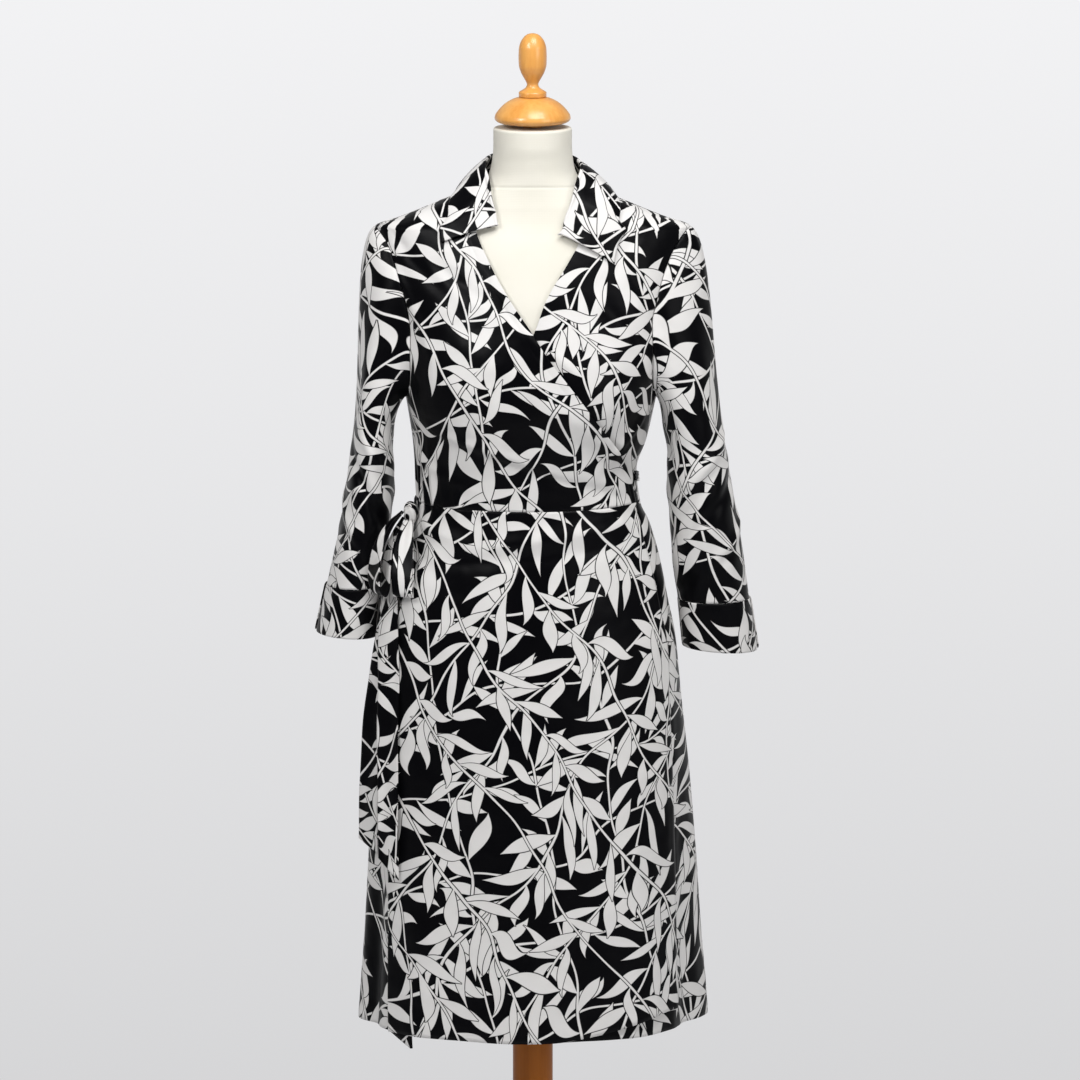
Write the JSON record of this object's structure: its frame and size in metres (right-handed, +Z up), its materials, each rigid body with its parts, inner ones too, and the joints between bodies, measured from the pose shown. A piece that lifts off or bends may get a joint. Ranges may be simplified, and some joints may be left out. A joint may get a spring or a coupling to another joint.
{
  "type": "wrap dress with a shirt collar and long sleeves on a limbless dress form",
  "caption": "Knee-length wrap dress with a shirt collar, long cuffed sleeves and a tie bowed at the side of the waist, on a limbless dress form with a turned wooden cap and pole.",
  "frame": {"origin": "centre of the base's underside, on the axis of the pole", "axes": "+Z up along the pole, the dress's front towards -Y"},
  "size_m": [0.5493, 0.38, 1.6246],
  "materials": {
    "dress_fabric": "soft satiny jersey, white leaf print on black",
    "form_cover": "matt cotton",
    "honey_wood": "clear varnish",
    "pole_wood": "clear varnish"
  },
  "bodies": {
    "root": {"bodice_front_over": "dress_fabric", "bodice_front_under": "dress_fabric", "bodice_back": "dress_fabric", "skirt_front_over": "dress_fabric", "skirt_front_under": "dress_fabric", "skirt_back": "dress_fabric", "collar": "dress_fabric", "tie_band": "dress_fabric", "tie_knot": "dress_fabric", "tie_loop_front": "dress_fabric", "tie_loop_side": "dress_fabric", "tie_tail_front": "dress_fabric", "tie_tail_side": "dress_fabric", "sleeve_left": "dress_fabric", "cuff_left": "dress_fabric", "sleeve_right": "dress_fabric", "cuff_right": "dress_fabric", "form_torso": "form_cover", "neck_cap": "honey_wood", "finial": "honey_wood", "pole": "pole_wood", "base": "pole_wood"}
  },
  "joints": []
}
